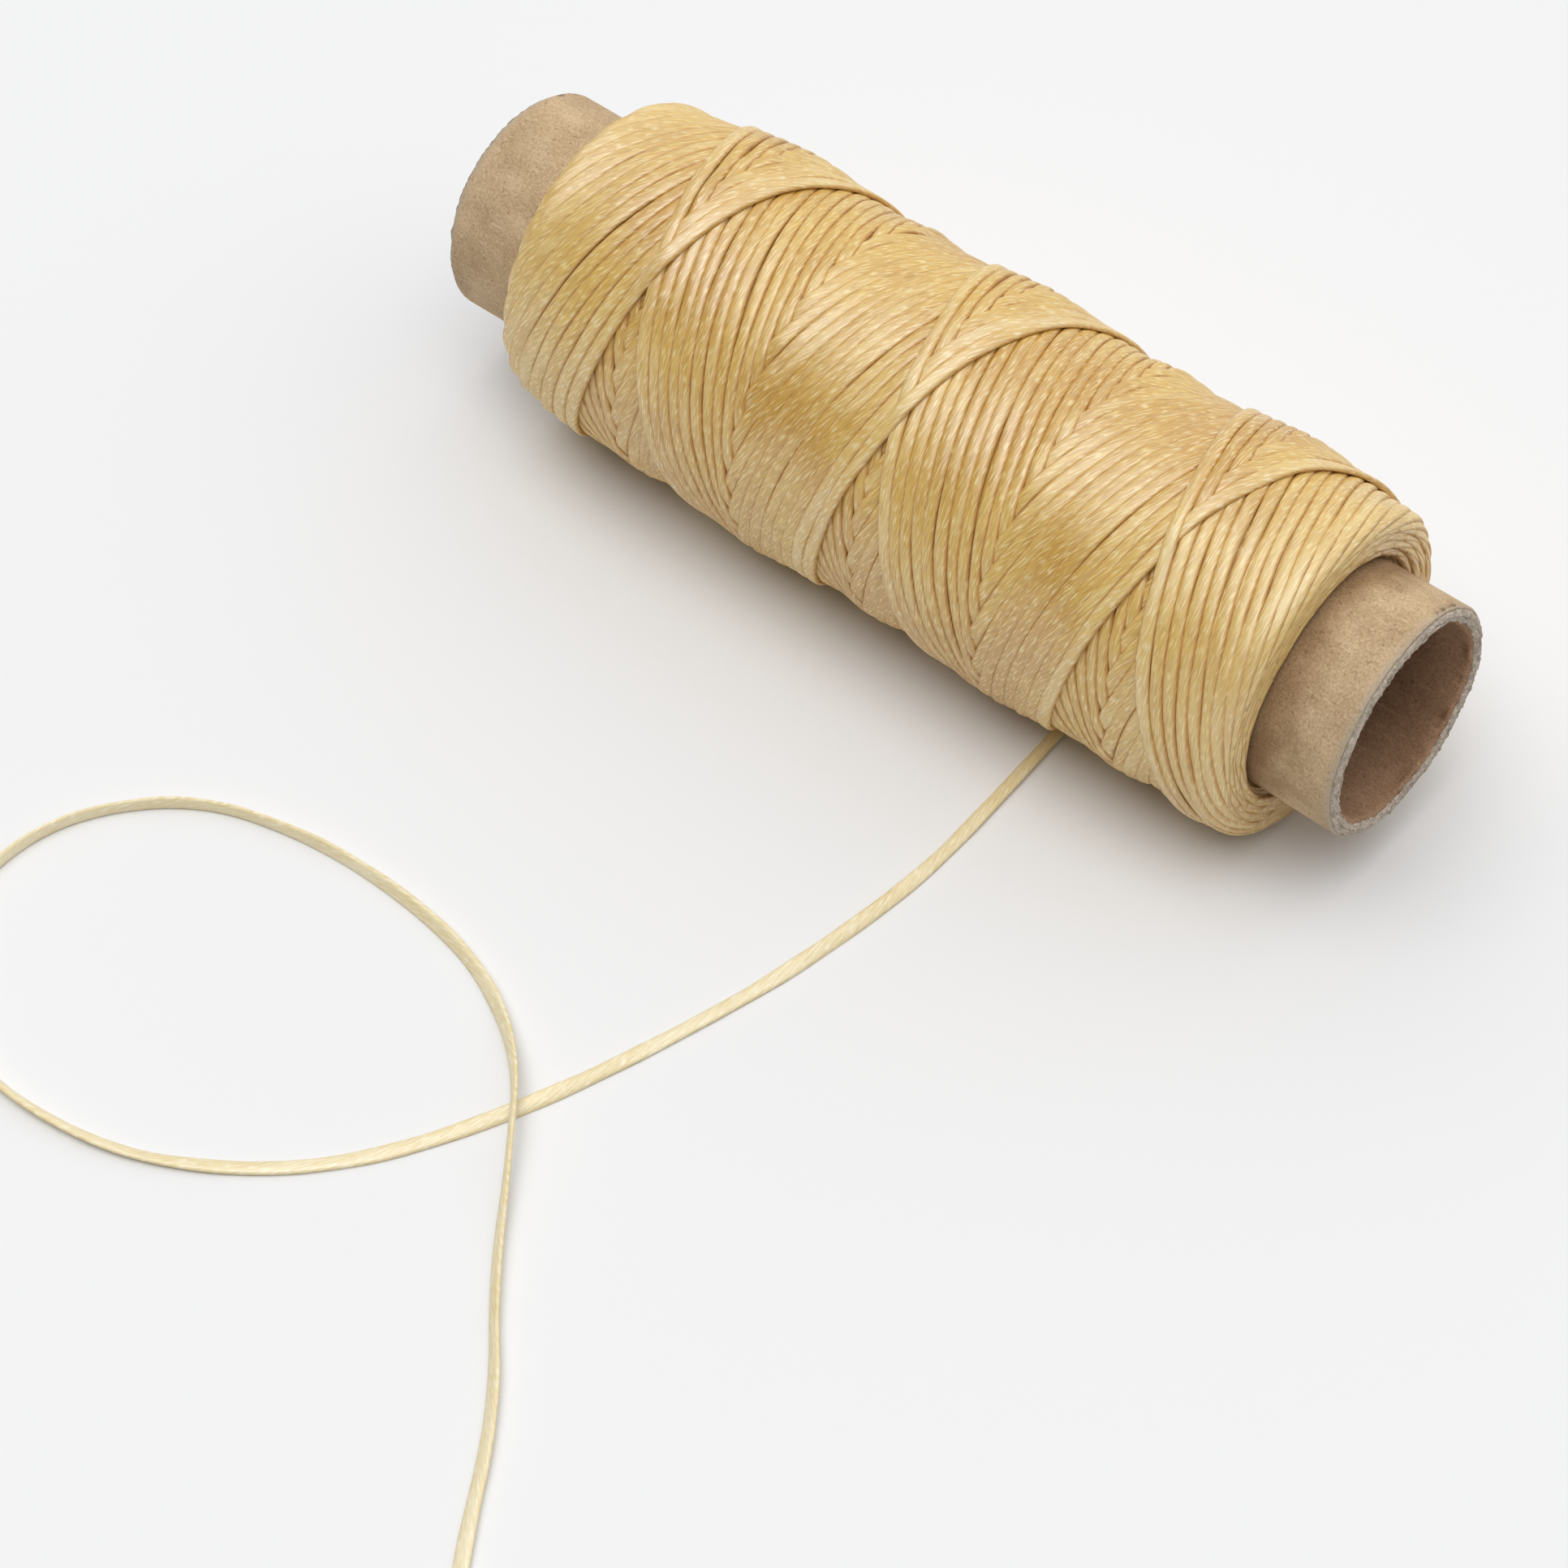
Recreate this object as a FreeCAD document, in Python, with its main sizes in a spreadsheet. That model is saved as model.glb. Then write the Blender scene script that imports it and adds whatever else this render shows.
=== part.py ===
"""Waxed thread spool: cross-wound flat waxed thread on a spiral-wound paperboard core.

Frame, in millimetres: +X along the spool's axis, towards the end where the core stands out least;
+Z up; the origin is on the table, under the middle of the spool. The spool lies on its winding, and
the loose end of the thread lies on the table in front of it, on the -Y side.
"""
import FreeCAD, Part
import math
import os

import Sketcher

Vector = FreeCAD.Vector

# Driving dimensions, in millimetres: alias, value, meaning.
DIMENSIONS = (
    ("core_length", 74.0, "core, end to end"),
    ("core_outer_radius", 8.0, "outside of the kraft outer ply"),
    ("kraft_thickness", 0.18, "outer ply and liner, each"),
    ("board_thickness", 0.44, "each of the two grey board plies"),
    ("axis_height", 11.7, "spool axis above the table"),
    ("winding_radius", 11.8, "full radius of the wound thread"),
    ("winding_far_end", 29.2, "end face on the -X side, from the middle"),
    ("winding_near_end", 31.5, "outermost edge of the lip on the +X side"),
    ("winding_near_root", 30.6, "where that face meets the core, sunk behind the lip"),
    ("shoulder_start", 20.0, "where the long -X shoulder begins to fall"),
    ("shoulder_curve", 38.7, "radius of that long shoulder in profile"),
    ("shoulder_corner", 1.0, "corner between shoulder and end face"),
    ("lip_start", 25.5, "where the +X end begins to fall"),
    ("lip_curve", 20.5, "radius of that fall in profile"),
    ("lip_corner", 2.09, "rounded lip of the +X end"),
    ("flat_length", 80.0, "cutting box under the winding, along X"),
    ("flat_width", 12.0, "cutting box under the winding, along Y"),
    ("flat_depth", 2.0, "cutting box under the winding, downwards"),
    ("thread_diameter", 0.8, "round equivalent of the flat thread"),
    ("thread_height", 0.45, "centre of the thread that lies on the table"),
    ("crossing_lift", 0.95, "rise of the upper stretch where the thread crosses itself"),
)

# Plies of the core, from the outside in: name and the alias of the thickness.
CORE_PLIES = (
    ("core_outer_ply", "kraft_thickness"),
    ("core_board_outer_ply", "board_thickness"),
    ("core_board_inner_ply", "board_thickness"),
    ("core_inner_liner", "kraft_thickness"),
)

# Route of the loose thread: x, y and the share of crossing_lift at each point.
TAIL_ROUTE = (
    (15.1, -3.2, 0),
    (16.0, -13.0, 0),
    (16.5, -22.0, 0),
    (15.5, -31.6, 0),
    (13.3, -40.8, 0),
    (10.5, -50.4, 0),
    (6.2, -59.3, 0),
    (0.9, -65.3, 0),
    (-7.0, -70.0, 0),
    (-18.6, -70.9, 0),
    (-27.2, -64.2, 0),
    (-28.4, -54.8, 0),
    (-23.0, -47.2, 0),
    (-15.0, -44.5, 0),
    (-6.6, -43.9, 0),
    (1.3, -45.0, 0),
    (7.9, -49.0, 1),
    (12.6, -54.7, 1),
    (17.5, -61.2, 0),
    (23.7, -67.5, 0),
    (28.8, -75.6, 0),
    (33.8, -82.0, 0),
    (40.8, -86.8, 0),
)
ARC_SHARE = 0.45  # tangent length of each arc, as a share of the shorter run


def make_sheet(doc):
    """Spreadsheet with one row for each driving dimension, and the radii between the plies."""
    sheet = doc.addObject("Spreadsheet::Sheet", "sheet")
    rows = list(DIMENSIONS)
    sizes = dict((alias, value) for alias, value, _ in DIMENSIONS)
    radius = sizes["core_outer_radius"]
    for name, thickness in CORE_PLIES:
        rows.append((name + "_outside", round(radius, 4), "outer radius of this ply"))
        radius -= sizes[thickness]
        rows.append((name + "_inside", round(radius, 4), "inner radius of this ply"))
    for row, (alias, value, meaning) in enumerate(rows, start=1):
        sheet.set("A%d" % row, meaning)
        sheet.set("B%d" % row, str(value))
        sheet.setAlias("B%d" % row, alias)
    doc.recompute()
    return sheet


def origin_plane(body, role):
    """The body's own origin plane with this role."""
    return next(item for item in body.Origin.OriginFeatures if item.Role == role)


def make_body(doc, name):
    """A body whose own origin is on the spool's axis."""
    body = doc.addObject("PartDesign::Body", name)
    body.Label = name
    body.setExpression("Placement.Base.z", "sheet.axis_height")
    return body


def make_sketch(body, name, role):
    """A sketch flat on one of the body's origin planes."""
    sketch = body.newObject("Sketcher::SketchObject", name)
    sketch.AttachmentSupport = [(origin_plane(body, role), "")]
    sketch.MapMode = "FlatFace"
    return sketch


def bind(sketch, constraint, expression):
    """Adds a dimension and ties it to the sheet."""
    index = sketch.addConstraint(constraint)
    sketch.setExpression("Constraints[%d]" % index, expression)


def make_core_ply(doc, sheet, name):
    """One ply of the core: a ring, padded both ways from the middle."""
    body = make_body(doc, name)
    sketch = make_sketch(body, name + "_ring", "YZ_Plane")
    normal = Vector(0, 0, 1)
    for side in ("_outside", "_inside"):
        radius = sheet.get(name + side)
        circle = sketch.addGeometry(Part.Circle(Vector(0, 0, 0), normal, radius))
        sketch.addConstraint(Sketcher.Constraint("Coincident", circle, 3, -1, 1))
        bind(sketch, Sketcher.Constraint("Radius", circle, radius), "sheet." + name + side)
    pad = body.newObject("PartDesign::Pad", name + "_pad")
    pad.Profile = sketch
    pad.SideType = "Symmetric"
    pad.setExpression("Length", "sheet.core_length")
    return body


def arc_from_angles(centre, radius, start, end):
    """Arc counter-clockwise from one angle to the other, in radians."""
    circle = Part.Circle(centre, Vector(0, 0, 1), radius)
    return Part.ArcOfCircle(circle, start, end)


def corner_centre(sheet, edge_x, corner, barrel_x, curve):
    """Height of a corner arc's centre, where it is tangent inside the long end curve."""
    across = edge_x - corner - barrel_x
    return sheet.winding_radius - curve + math.sqrt((curve - corner) ** 2 - across**2)


def draw_winding_profile(sketch, sheet):
    """Half section of the winding: a barrel with a long shoulder at -X and a lip at +X."""
    shoulder_y = corner_centre(
        sheet, sheet.winding_far_end, sheet.shoulder_corner, sheet.shoulder_start, sheet.shoulder_curve
    )
    lip_y = corner_centre(
        sheet, sheet.winding_near_end, sheet.lip_corner, sheet.lip_start, sheet.lip_curve
    )
    shoulder_centre = Vector(-sheet.shoulder_start, sheet.winding_radius - sheet.shoulder_curve)
    shoulder_corner_centre = Vector(sheet.shoulder_corner - sheet.winding_far_end, shoulder_y)
    lip_centre = Vector(sheet.lip_start, sheet.winding_radius - sheet.lip_curve)
    lip_corner_centre = Vector(sheet.winding_near_end - sheet.lip_corner, lip_y)
    to_shoulder = shoulder_corner_centre - shoulder_centre
    to_lip = lip_corner_centre - lip_centre
    shoulder_angle = math.atan2(to_shoulder.y, to_shoulder.x)
    lip_angle = math.atan2(to_lip.y, to_lip.x)
    upright = math.pi / 2

    far_root = Vector(-sheet.winding_far_end, sheet.core_outer_radius)
    near_root = Vector(sheet.winding_near_root, sheet.core_outer_radius)
    lip_edge = Vector(sheet.winding_near_end, lip_y)
    barrel_near = Vector(sheet.lip_start, sheet.winding_radius)
    barrel_far = Vector(-sheet.shoulder_start, sheet.winding_radius)
    far_edge = Vector(-sheet.winding_far_end, shoulder_y)

    root = sketch.addGeometry(Part.LineSegment(far_root, near_root))
    near_face = sketch.addGeometry(Part.LineSegment(near_root, lip_edge))
    lip = sketch.addGeometry(arc_from_angles(lip_corner_centre, sheet.lip_corner, 0, lip_angle))
    fall = sketch.addGeometry(arc_from_angles(lip_centre, sheet.lip_curve, lip_angle, upright))
    barrel = sketch.addGeometry(Part.LineSegment(barrel_near, barrel_far))
    shoulder = sketch.addGeometry(
        arc_from_angles(shoulder_centre, sheet.shoulder_curve, upright, shoulder_angle)
    )
    corner = sketch.addGeometry(
        arc_from_angles(shoulder_corner_centre, sheet.shoulder_corner, shoulder_angle, math.pi)
    )
    far_face = sketch.addGeometry(Part.LineSegment(far_edge, far_root))

    sketch.addConstraint(Sketcher.Constraint("Coincident", root, 2, near_face, 1))
    sketch.addConstraint(Sketcher.Constraint("Coincident", near_face, 2, lip, 1))
    sketch.addConstraint(Sketcher.Constraint("Coincident", far_face, 2, root, 1))
    outline = (lip, fall, barrel, shoulder, corner, far_face)
    for first, second in zip(outline, outline[1:]):
        sketch.addConstraint(Sketcher.Constraint("Tangent", first, 2, second, 1))
    sketch.addConstraint(Sketcher.Constraint("Horizontal", root))
    sketch.addConstraint(Sketcher.Constraint("Horizontal", barrel))
    sketch.addConstraint(Sketcher.Constraint("Vertical", far_face))
    sketch.addConstraint(Sketcher.Constraint("Horizontal", lip, 3, lip, 1))

    def along(first, first_point, second, second_point, alias):
        constraint = Sketcher.Constraint(
            "DistanceX", first, first_point, second, second_point, sheet.get(alias)
        )
        bind(sketch, constraint, "sheet." + alias)

    def outwards(geometry, point, alias):
        constraint = Sketcher.Constraint("DistanceY", -1, 1, geometry, point, sheet.get(alias))
        bind(sketch, constraint, "sheet." + alias)

    def rounded(geometry, alias):
        bind(sketch, Sketcher.Constraint("Radius", geometry, sheet.get(alias)), "sheet." + alias)

    outwards(root, 1, "core_outer_radius")
    outwards(barrel, 1, "winding_radius")
    along(root, 1, -1, 1, "winding_far_end")
    along(-1, 1, root, 2, "winding_near_root")
    along(-1, 1, lip, 1, "winding_near_end")
    along(-1, 1, barrel, 1, "lip_start")
    along(barrel, 2, -1, 1, "shoulder_start")
    rounded(lip, "lip_corner")
    rounded(fall, "lip_curve")
    rounded(shoulder, "shoulder_curve")
    rounded(corner, "shoulder_corner")


def draw_centred_rectangle(sketch, length_alias, width_alias, sheet):
    """Rectangle about the sketch's origin, with both sizes tied to the sheet."""
    half_x = sheet.get(length_alias) / 2
    half_y = sheet.get(width_alias) / 2
    corners = (
        Vector(-half_x, -half_y),
        Vector(half_x, -half_y),
        Vector(half_x, half_y),
        Vector(-half_x, half_y),
    )
    sides = []
    for start, end in zip(corners, corners[1:] + corners[:1]):
        sides.append(sketch.addGeometry(Part.LineSegment(start, end)))
    for first, second in zip(sides, sides[1:] + sides[:1]):
        sketch.addConstraint(Sketcher.Constraint("Coincident", first, 2, second, 1))
    for side, direction in zip(sides, ("Horizontal", "Vertical", "Horizontal", "Vertical")):
        sketch.addConstraint(Sketcher.Constraint(direction, side))
    sketch.addConstraint(Sketcher.Constraint("Symmetric", sides[0], 1, sides[2], 1, -1, 1))
    length = Sketcher.Constraint("DistanceX", sides[0], 1, sides[0], 2, 2 * half_x)
    bind(sketch, length, "sheet." + length_alias)
    width = Sketcher.Constraint("DistanceY", sides[1], 1, sides[1], 2, 2 * half_y)
    bind(sketch, width, "sheet." + width_alias)


def make_winding(doc, sheet):
    """The wound thread, turned about the axis, with the narrow flat that it rests on."""
    name = "thread_winding"
    body = make_body(doc, name)
    profile = make_sketch(body, name + "_profile", "XZ_Plane")
    draw_winding_profile(profile, sheet)
    turned = body.newObject("PartDesign::Revolution", name + "_turned")
    turned.Profile = profile
    turned.ReferenceAxis = (profile, ["H_Axis"])
    turned.Angle = 360
    doc.recompute()
    turned_volume = turned.Shape.Volume

    outline = make_sketch(body, name + "_flat_outline", "XY_Plane")
    outline.setExpression("AttachmentOffset.Base.z", "-sheet.axis_height")
    draw_centred_rectangle(outline, "flat_length", "flat_width", sheet)
    flat = body.newObject("PartDesign::Pocket", name + "_rest_flat")
    flat.Profile = outline
    flat.setExpression("Length", "sheet.flat_depth")
    doc.recompute()
    removed = turned_volume - flat.Shape.Volume
    print("rest flat removes %.2f mm3" % removed)
    if not 0 < removed < 0.01 * turned_volume:
        raise RuntimeError("the rest flat cuts the wrong side")
    return body


def rounded_path(points):
    """Straight runs joined by tangent arcs, as large as their two runs allow; with their radii."""
    edges = []
    radii = []
    last = points[0]
    for before, point, after in zip(points, points[1:], points[2:]):
        to_before = before - point
        to_after = after - point
        half_turn = (math.pi - to_before.getAngle(to_after)) / 2
        tangent = ARC_SHARE * min(to_before.Length, to_after.Length)
        radius = tangent / math.tan(half_turn)
        to_before.normalize()
        to_after.normalize()
        start = point + to_before * tangent
        end = point + to_after * tangent
        inwards = to_before + to_after
        inwards.normalize()
        middle = point + inwards * (radius / math.cos(half_turn) - radius)
        edges.append(Part.LineSegment(last, start).toShape())
        edges.append(Part.Arc(start, middle, end).toShape())
        radii.append(radius)
        last = end
    edges.append(Part.LineSegment(last, points[-1]).toShape())
    return Part.Wire(edges), radii


def make_tail(doc, sheet, winding):
    """The loose end: one round tube along the route, cut where it comes out under the winding."""
    points = []
    for x, y, share in TAIL_ROUTE:
        points.append(Vector(x, y, sheet.thread_height + share * sheet.crossing_lift))
    path, radii = rounded_path(points)
    radius = sheet.thread_diameter / 2
    section = Part.Wire(Part.makeCircle(radius, points[0], points[1] - points[0]))
    tube = path.makePipeShell([section], True, False)
    expected = math.pi * radius**2 * path.Length
    print("tail radii, mm: " + ", ".join("%.1f" % value for value in radii))
    print("tail length %.1f mm" % path.Length)
    print("tail volume %.3f mm3, section times length %.3f mm3" % (tube.Volume, expected))
    if abs(tube.Volume - expected) > 0.01 * expected:
        raise RuntimeError("the tail's volume isn't its section times its length")
    tail = doc.addObject("Part::Feature", "thread_tail")
    tail.Label = "thread_tail"
    tail.Shape = tube.cut(winding.Shape).Solids[0]
    tail.Placement = FreeCAD.Placement()
    return tail


def check_document(doc, pieces):
    """Stops if any object failed or any piece is null, invalid or not one solid."""
    for item in doc.Objects:
        if "Invalid" in item.State or "Error" in item.State:
            raise RuntimeError("%s failed: %s" % (item.Name, item.State))
    for piece in pieces:
        shape = piece.Shape
        if shape.isNull() or not shape.isValid() or len(shape.Solids) != 1:
            raise RuntimeError("%s has no valid single solid" % piece.Label)


def check_clear(pieces):
    """Stops if any two pieces overlap; faces may touch."""
    for index, first in enumerate(pieces):
        for second in pieces[index + 1 :]:
            overlap = first.Shape.common(second.Shape).Volume
            if overlap > 1e-6:
                raise RuntimeError("%s overlaps %s by %g mm3" % (first.Label, second.Label, overlap))


def main():
    doc = FreeCAD.newDocument("waxed_thread_spool")
    sheet = make_sheet(doc)
    pieces = [make_core_ply(doc, sheet, name) for name, _ in CORE_PLIES]
    winding = make_winding(doc, sheet)
    pieces.append(winding)
    pieces.append(make_tail(doc, sheet, winding))
    doc.recompute()
    check_document(doc, pieces)
    check_clear(pieces)
    os.makedirs("parts", exist_ok=True)
    for piece in pieces:
        box = piece.Shape.optimalBoundingBox(False, False)
        size = "%.2f x %.2f x %.2f mm" % (box.XLength, box.YLength, box.ZLength)
        print("%s: %s, lowest %.3f, %.2f mm3" % (piece.Label, size, box.ZMin, piece.Shape.Volume))
        piece.Shape.exportStep("parts/%s.step" % piece.Label)


main()
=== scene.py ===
"""Waxed thread spool: every lap of the flat waxed thread is wound on in the order the machine laid it."""
import math

import bpy
import numpy as np
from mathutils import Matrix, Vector


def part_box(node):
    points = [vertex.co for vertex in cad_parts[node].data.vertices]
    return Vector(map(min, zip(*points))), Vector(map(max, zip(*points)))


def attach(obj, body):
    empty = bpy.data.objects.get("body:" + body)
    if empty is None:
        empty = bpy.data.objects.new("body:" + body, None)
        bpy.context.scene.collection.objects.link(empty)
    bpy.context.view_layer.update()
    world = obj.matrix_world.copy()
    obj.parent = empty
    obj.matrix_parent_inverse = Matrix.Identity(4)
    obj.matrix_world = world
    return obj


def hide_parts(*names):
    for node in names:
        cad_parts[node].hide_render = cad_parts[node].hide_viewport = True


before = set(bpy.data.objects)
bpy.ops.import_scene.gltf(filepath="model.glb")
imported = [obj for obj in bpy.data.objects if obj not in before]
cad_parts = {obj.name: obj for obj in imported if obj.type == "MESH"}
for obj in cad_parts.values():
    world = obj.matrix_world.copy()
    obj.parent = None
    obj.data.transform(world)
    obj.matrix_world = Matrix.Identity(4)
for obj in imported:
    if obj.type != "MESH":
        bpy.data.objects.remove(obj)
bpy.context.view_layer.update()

MM = 0.001
BODY = "root"

# ---------------------------------------------------------------- sizes, in millimetres
core_low, core_high = (np.array(corner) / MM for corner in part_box("core_outer_ply"))
CORE_RADIUS = (core_high[2] - core_low[2]) / 2
AXIS_HEIGHT = (core_high[2] + core_low[2]) / 2
CORE_END = core_high[0]
RIM_DEPTH = 0.4  # the worn cut edge takes up this much of each end of a ply
PLY_THICKNESS = {"kraft_paper": 0.18, "grey_board": 0.44, "liner_paper": 0.18}
CORE_WALL = PLY_THICKNESS["kraft_paper"] + 2 * PLY_THICKNESS["grey_board"] + PLY_THICKNESS["liner_paper"]

WINDING_RADIUS = 11.8
BUILD_UP = WINDING_RADIUS - CORE_RADIUS
# Each end of the winding in profile: where it begins to fall, the long curve, the corner, the end face.
FAR_PROFILE = {"start": 20.0, "curve": 38.7, "corner": 1.0, "edge": 29.2}
NEAR_PROFILE = {"start": 25.5, "curve": 20.5, "corner": 2.09, "edge": 31.5}

THREAD_WIDTH = 0.97
THREAD_THICKNESS = 0.40
LEAD = 20.4  # how far the thread moves along the spool in one turn
PITCH = 0.91  # from one lap to the next one laid beside it
TRAVERSE_PAIRS = 118
TRAVERSE_TURNS = 3 - PITCH / (2 * LEAD)  # just short of three, so that each pass lands beside an older one
SEAM_X = 1.9  # one of the lines where left-going and right-going laps interleave
RIGHT_END = SEAM_X + 1.5 * LEAD
LEFT_END = RIGHT_END - TRAVERSE_TURNS * LEAD
TURN_ROUND = 0.16  # turns taken to round off the end of each traverse
EXIT_X = 14.6
EXIT_TURN = (EXIT_X - LEFT_END) / LEAD
EXIT_ANGLE = 270.0  # the thread leaves the winding at the very bottom

FAR_SLIP = 2.3  # laps slide this far outwards down the -X shoulder
FAR_SLIP_START = 18.0
FAR_SPREAD = 0.28  # and are this share wider there, so that they still cover it
NEAR_ROOT_INSET = 1.5  # the first layers stop short of the +X lip
NEAR_ROOT_START = 22.0
NEAR_ROOT_RUN = 9.0
DRIFT = 0.04  # how far a lap wanders from its place
SCATTER = 0.035  # how far a whole pass misses its place

# The winding's visible pieces, and how many pairs of traverses ago the newest lap of each was laid.
LAYER_AGES = {"newest": 0, "outer": 2, "upper": 9, "middle": 16, "inner": 26}
NEAR_END_KEPT = 2.4  # laps are kept whole this close to the near end face
FAR_END_KEPT = 1.6
PRESSED_EDGE_SHADE = 0.98  # the painted shade at the edges of pressed laps is a little lighter
SHORTEST_STRIP = 4  # rings
HIDDEN_RINGS = 3  # each seen stretch runs on this far under its neighbours
TURN_RINGS = 10  # rings drawn together where one traverse turns into the next
LAST_RINGS_KEPT = 8  # at the end of the last lap, whatever lies over them
# The rings that lead from the last lap into the loose end: how far over, and how far along.
LEAD_OUT_SHARES = (0.35, 0.7, 1.0)
LEAD_OUT_LENGTHS = (1.2, 2.4, 3.5)
TEXTURE_SHIFT = 371.0  # moves the fibres of each traverse on from those of the one before

# The plain body that fills in behind the laps: how far it stays inside the winding's outside.
UNDER_DEPTH = 0.43
UNDER_FAR_INSET = 0.7
UNDER_NEAR_INSET = 0.75
UNDER_NEAR_SLANT = 0.6  # its near face leans in by this much at the core

TAIL_WIDTH = 1.0
TAIL_THICKNESS = 0.4
TAIL_TEXTURE_START = 40

# ---------------------------------------------------------------- camera
CAMERA_PLACE = (118.4, -151.1, 197.4)
CAMERA_AIM = (4.8, -21.1, 0.0)
LENS = 93.86


def make_camera():
    data = bpy.data.cameras.new("camera")
    data.lens = LENS
    data.sensor_width = 36
    data.clip_start = 0.005
    data.clip_end = 20
    camera = bpy.data.objects.new("camera", data)
    bpy.context.scene.collection.objects.link(camera)
    place = Vector(CAMERA_PLACE) * MM
    camera.location = place
    camera.rotation_mode = "QUATERNION"
    camera.rotation_quaternion = (Vector(CAMERA_AIM) * MM - place).to_track_quat("-Z", "Y")
    bpy.context.scene.camera = camera


# ---------------------------------------------------------------- meshes
def add_mesh(name, vertices_mm, faces, material, smooth=True):
    """A new object from vertices in millimetres."""
    mesh = bpy.data.meshes.new(name)
    mesh.from_pydata((np.asarray(vertices_mm) * MM).tolist(), [], faces)
    mesh.update()
    if smooth:
        mesh.shade_smooth()
    mesh.materials.append(material)
    obj = bpy.data.objects.new(name, mesh)
    bpy.context.scene.collection.objects.link(obj)
    return obj


def strip_faces(sections, around, first=0):
    """Faces of one closed strip: rings of `around` vertices joined along it, with both ends capped."""
    faces = []
    for ring in range(sections - 1):
        base = first + ring * around
        for k in range(around):
            k2 = (k + 1) % around
            faces.append((base + k, base + k2, base + around + k2, base + around + k))
    faces.append(tuple(first + k for k in reversed(range(around))))
    last = first + (sections - 1) * around
    faces.append(tuple(last + k for k in range(around)))
    return faces


def turned_faces(around, count):
    """Faces of a body turned about the axis: `around` copies of an outline of `count` points."""
    faces = []
    for i in range(around):
        j = (i + 1) % around
        for k in range(count):
            k2 = (k + 1) % count
            faces.append((i * count + k, i * count + k2, j * count + k2, j * count + k))
    return faces


def unit(vectors):
    return vectors / np.linalg.norm(vectors, axis=-1, keepdims=True)


def smoothed(values, count):
    """Moving average over an odd count of values, with the end values held."""
    return np.convolve(np.pad(values, count // 2, mode="edge"), np.ones(count) / count, mode="valid")


# Outline of the flat thread, across and up, as shares of its half width and half thickness.
# Low down it spreads a little, where soft wax fills the bottom of the groove between two laps.
THREAD_OUTLINE = np.array(
    [(-1.07, -0.5), (-0.96, 0.12), (-0.85, 0.54), (-0.58, 0.86), (-0.2, 0.99), (0.2, 0.99), (0.58, 0.86),
     (0.85, 0.54), (0.96, 0.12), (1.07, -0.5), (0.6, -0.95), (-0.6, -0.95)]
)
# The same for laps that lie well pressed down: flatter, with shallower grooves.
PRESSED_OUTLINE = np.array(
    [(-1.07, -0.2), (-0.98, 0.42), (-0.86, 0.72), (-0.58, 0.92), (-0.2, 0.99), (0.2, 0.99), (0.58, 0.92),
     (0.86, 0.72), (0.98, 0.42), (1.07, -0.2), (0.6, -0.95), (-0.6, -0.95)]
)
TAIL_OUTLINE = np.array(
    [(-1, 0), (-0.93, 0.42), (-0.72, 0.74), (-0.3, 0.96), (0.3, 0.96), (0.72, 0.74), (0.93, 0.42), (1, 0),
     (0.93, -0.42), (0.6, -0.84), (-0.6, -0.84), (-0.93, -0.42)]
)


def thread_rings(outline, centres, across, up, widths, thickness):
    """Vertices of the thread's outline at each centre."""
    reach = outline[None, :, 0, None] * across[:, None, :] * (widths[:, None, None] / 2)
    rise = outline[None, :, 1, None] * up[:, None, :] * (thickness / 2)
    return centres[:, None, :] + reach + rise


def add_thread(name, strips, outline, material):
    """One object from several strips, each (rings, lengths along the thread, how far the painted edge shade
    reaches).
    The UV map holds millimetres along the thread and across it, so that fibres follow the thread."""
    around = len(outline)
    vertices, faces, along, over = [], [], [], []
    count = 0
    for rings, lengths, edge in strips:
        sections = len(rings)
        vertices.append(rings.reshape(-1, 3))
        faces += strip_faces(sections, around, count)
        along.append(np.repeat(lengths, around))
        over.append(np.tile(outline[:, 0] * edge * THREAD_WIDTH / 2, sections))
        count += sections * around
    obj = add_mesh(name, np.concatenate(vertices), faces, material)
    uv = obj.data.uv_layers.new(name="thread")
    corners = np.zeros(len(obj.data.loops), np.int32)
    obj.data.loops.foreach_get("vertex_index", corners)
    flat = np.stack([np.concatenate(along)[corners], np.concatenate(over)[corners]], -1)
    uv.data.foreach_set("uv", flat.astype(np.float32).ravel())
    return obj


# ---------------------------------------------------------------- shader nodes
BLACK = (0, 0, 0)
WHITE = (1, 1, 1)
RAMP_PER_METRE = 20.0  # ramps run from 0 to 1, which then is 0 to 50 mm along the spool


def grey(value):
    return (value, value, value)


def srgb(red, green, blue):
    """Linear colour from the 0 to 255 values people use."""
    return tuple(((value / 255 + 0.055) / 1.055) ** 2.4 for value in (red, green, blue))


def new_material(name):
    material = bpy.data.materials.new(name)
    material.use_nodes = True
    nodes = material.node_tree.nodes
    return material, nodes, material.node_tree.links, nodes["Principled BSDF"]


def add_node(nodes, kind, **settings):
    node = nodes.new(kind)
    for key, value in settings.items():
        setattr(node, key, value)
    return node


def feed(links, socket, value):
    """Links a socket to another one, or sets it to a number or an opaque colour."""
    if isinstance(value, bpy.types.NodeSocket):
        links.new(value, socket)
    elif isinstance(value, tuple):
        socket.default_value = value + (1,)
    else:
        socket.default_value = value


def ramp(nodes, links, source, stops):
    """Colour ramp from (position, colour) stops, driven by a value."""
    node = nodes.new("ShaderNodeValToRGB")
    elements = node.color_ramp.elements
    while len(elements) < len(stops):
        elements.new(0.5)
    for element, (position, colour) in zip(elements, stops):
        element.position = position
        element.color = colour + (1,)
    links.new(source, node.inputs["Fac"])
    return node.outputs["Color"]


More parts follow.
